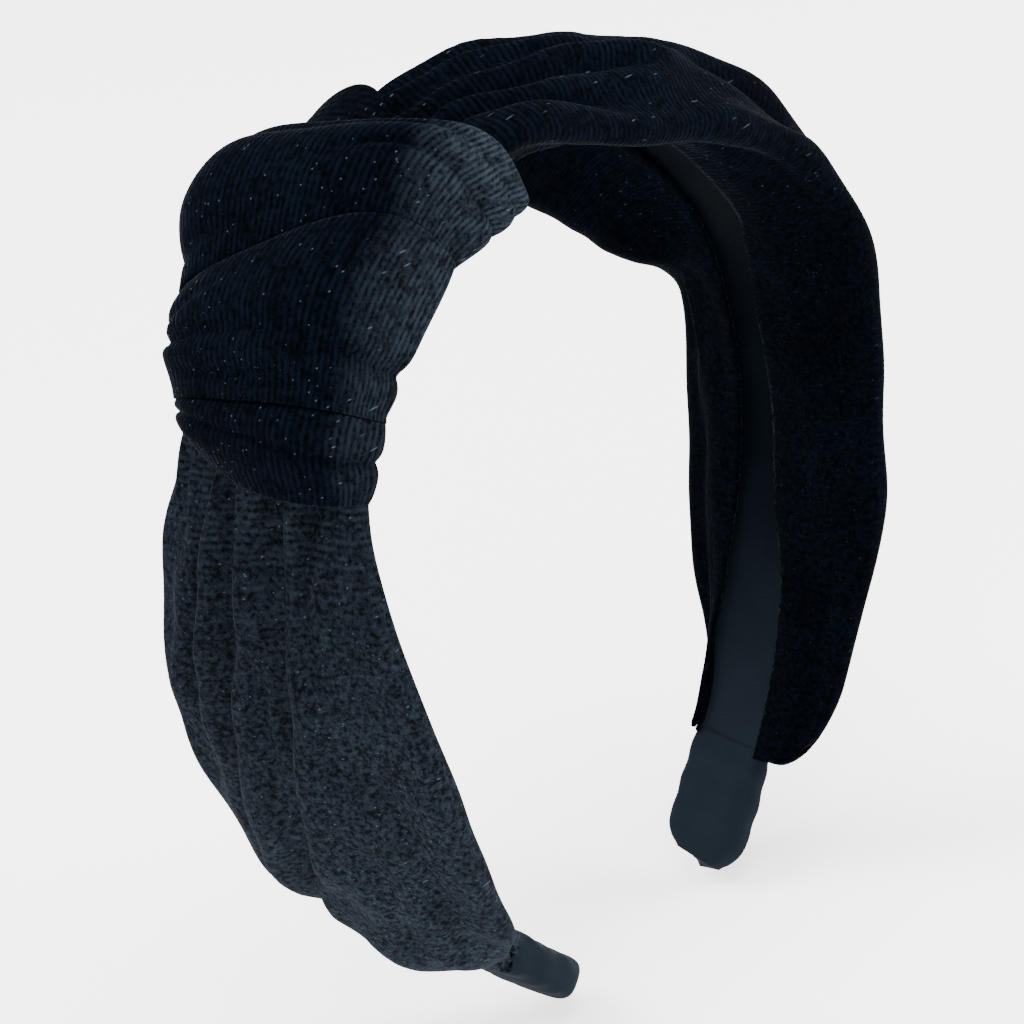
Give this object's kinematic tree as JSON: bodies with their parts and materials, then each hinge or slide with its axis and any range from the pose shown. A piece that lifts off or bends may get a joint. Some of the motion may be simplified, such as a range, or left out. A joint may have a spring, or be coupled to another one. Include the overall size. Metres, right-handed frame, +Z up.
{
  "type": "headband",
  "caption": "Springy U-shaped headband covered in loose gathered velvet, with a thick knot on one shoulder, a smooth lining strip inside and narrow covered tips.",
  "frame": {"origin": "middle of the lining's inner face under the crown, where the headband sits on the head", "axes": "+X to the wearer's right arm of the band seen from the front with the knot at -X, +Y to the back of the head, +Z up out of the crown"},
  "size_m": [0.1301, 0.0507, 0.1551],
  "materials": {
    "band_plastic": "moulded, plain, not seen when finished",
    "padding_foam": "soft foam strip, not seen when finished",
    "velvet": "blue-black cut-pile velvet, fine ribs, pale sheen where the pile is seen edge on",
    "lining_ribbon": "smooth close-woven satin ribbon, charcoal blue"
  },
  "bodies": {
    "crown": {"band_crown": "band_plastic", "lining_crown": "lining_ribbon", "padding_crown": "padding_foam", "velvet_sleeve_crown": "velvet", "knot_upper_turn": "velvet", "knot_lower_turn": "velvet", "knot_hem_turn": "velvet", "knot_tucked_fold": "velvet"},
    "left_arm": {"band_left": "band_plastic", "lining_left": "lining_ribbon", "padding_left": "padding_foam", "velvet_sleeve_left": "velvet", "tip_cover_left": "lining_ribbon"},
    "right_arm": {"band_right": "band_plastic", "lining_right": "lining_ribbon", "padding_right": "padding_foam", "velvet_sleeve_right": "velvet", "tip_cover_right": "lining_ribbon"}
  },
  "joints": [
    {"name": "left_arm_flex", "type": "hinge", "parent": "crown", "child": "left_arm", "pos_m": [-0.05374, 0, -0.0382], "axis": [0, 1, 0], "range_deg": [-4, 18], "stiffness_Nm_per_rad": 0.4},
    {"name": "right_arm_flex", "type": "hinge", "parent": "crown", "child": "right_arm", "pos_m": [0.05374, 0, -0.0382], "axis": [0, -1, 0], "range_deg": [-4, 18], "stiffness_Nm_per_rad": 0.4}
  ]
}
